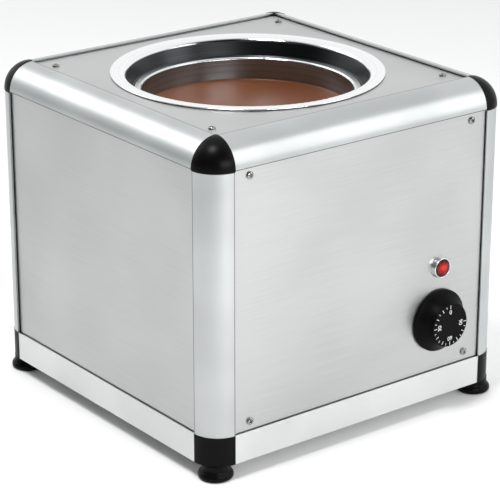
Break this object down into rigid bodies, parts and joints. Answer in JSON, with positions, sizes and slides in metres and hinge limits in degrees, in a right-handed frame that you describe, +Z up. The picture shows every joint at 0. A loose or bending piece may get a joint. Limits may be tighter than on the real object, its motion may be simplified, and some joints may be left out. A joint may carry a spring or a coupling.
{
  "type": "chocolate melter",
  "caption": "Square stainless countertop chocolate melter with a lift-out bowl in a heated well, a dial thermostat, a pilot lamp and screw feet.",
  "frame": {"origin": "on the table, under the middle of the box and of the whole part", "axes": "+Z up, -Y towards the user (the face with the dial), +X to the user's right"},
  "size_m": [0.331, 0.3594, 0.3025],
  "materials": {
    "anodised_aluminium": "satin anodised",
    "bright_aluminium": "smooth bright",
    "brushed_stainless": "brushed",
    "polished_stainless": "mirror polished",
    "galvanised_steel": "zinc coated",
    "plated_screws": "nickel plated",
    "brass": "turned",
    "copper": "drawn",
    "black_nylon": "satin moulded",
    "foot_plastic": "satin moulded",
    "knob_plastic": "satin moulded",
    "housing_plastic": "moulded",
    "gland_plastic": "moulded",
    "silicone": "smooth",
    "mineral_wool": "loose wool",
    "chrome_bezel": "polished",
    "red_lens": "clear red",
    "chocolate": "melted, glossy"
  },
  "bodies": {
    "case": {"corner_post_front_left": "anodised_aluminium", "corner_post_front_right": "anodised_aluminium", "corner_post_rear_left": "anodised_aluminium", "corner_post_rear_right": "anodised_aluminium", "top_rail_front": "anodised_aluminium", "top_rail_rear": "anodised_aluminium", "top_rail_left": "anodised_aluminium", "top_rail_right": "anodised_aluminium", "base_rail_front": "bright_aluminium", "base_rail_rear": "bright_aluminium", "base_rail_left": "bright_aluminium", "base_rail_right": "bright_aluminium", "front_panel": "brushed_stainless", "rear_panel": "brushed_stainless", "left_panel": "brushed_stainless", "right_panel": "brushed_stainless", "top_plate": "brushed_stainless", "well": "polished_stainless", "base_plate": "galvanised_steel", "well_clips": "galvanised_steel", "thermostat_bracket": "galvanised_steel", "sensor_clip": "galvanised_steel", "panel_screws": "plated_screws", "base_plate_screws": "plated_screws", "terminal_screws": "plated_screws", "blade_terminals": "plated_screws", "earth_stud": "brass", "lamp_nut": "brass", "sensor_bulb": "copper", "capillary_tube": "copper", "corner_cap_front_left": "black_nylon", "corner_cap_front_right": "black_nylon", "corner_cap_rear_left": "black_nylon", "corner_cap_rear_right": "black_nylon", "foot_block_front_left": "black_nylon", "foot_block_front_right": "black_nylon", "foot_block_rear_left": "black_nylon", "foot_block_rear_right": "black_nylon", "thermostat_body": "housing_plastic", "terminal_block": "housing_plastic", "lamp_body": "housing_plastic", "gland_body": "gland_plastic", "gland_dome_nut": "gland_plastic", "gland_lock_nut": "gland_plastic", "well_gasket": "silicone", "heater_band": "silicone", "gland_seal": "silicone", "wiring_leads": "silicone", "insulation_wool": "mineral_wool", "lamp_bezel": "chrome_bezel", "lamp_lens": "red_lens"},
    "bowl_set": {"bowl": "polished_stainless", "melted_chocolate": "chocolate"},
    "dial": {"thermostat_knob": "knob_plastic", "thermostat_shaft": "brass"},
    "foot_front_left": {"foot_front_left": "foot_plastic"},
    "foot_front_right": {"foot_front_right": "foot_plastic"},
    "foot_rear_left": {"foot_rear_left": "foot_plastic"},
    "foot_rear_right": {"foot_rear_right": "foot_plastic"}
  },
  "joints": [
    {"name": "bowl_lift", "type": "slide", "parent": "case", "child": "bowl_set", "axis": [0, 0, 1], "range_m": [0, 0.22]},
    {"name": "dial_turn", "type": "hinge", "parent": "case", "child": "dial", "pos_m": [0.09, -0.1627, 0.089], "axis": [0, 1, 0], "range_deg": [0, 270]},
    {"name": "foot_screw_front_left", "type": "slide", "parent": "case", "child": "foot_front_left", "axis": [0, 0, -1], "range_m": [0, 0.01]},
    {"name": "foot_screw_front_right", "type": "slide", "parent": "case", "child": "foot_front_right", "axis": [0, 0, -1], "range_m": [0, 0.01]},
    {"name": "foot_screw_rear_left", "type": "slide", "parent": "case", "child": "foot_rear_left", "axis": [0, 0, -1], "range_m": [0, 0.01]},
    {"name": "foot_screw_rear_right", "type": "slide", "parent": "case", "child": "foot_rear_right", "axis": [0, 0, -1], "range_m": [0, 0.01]}
  ]
}
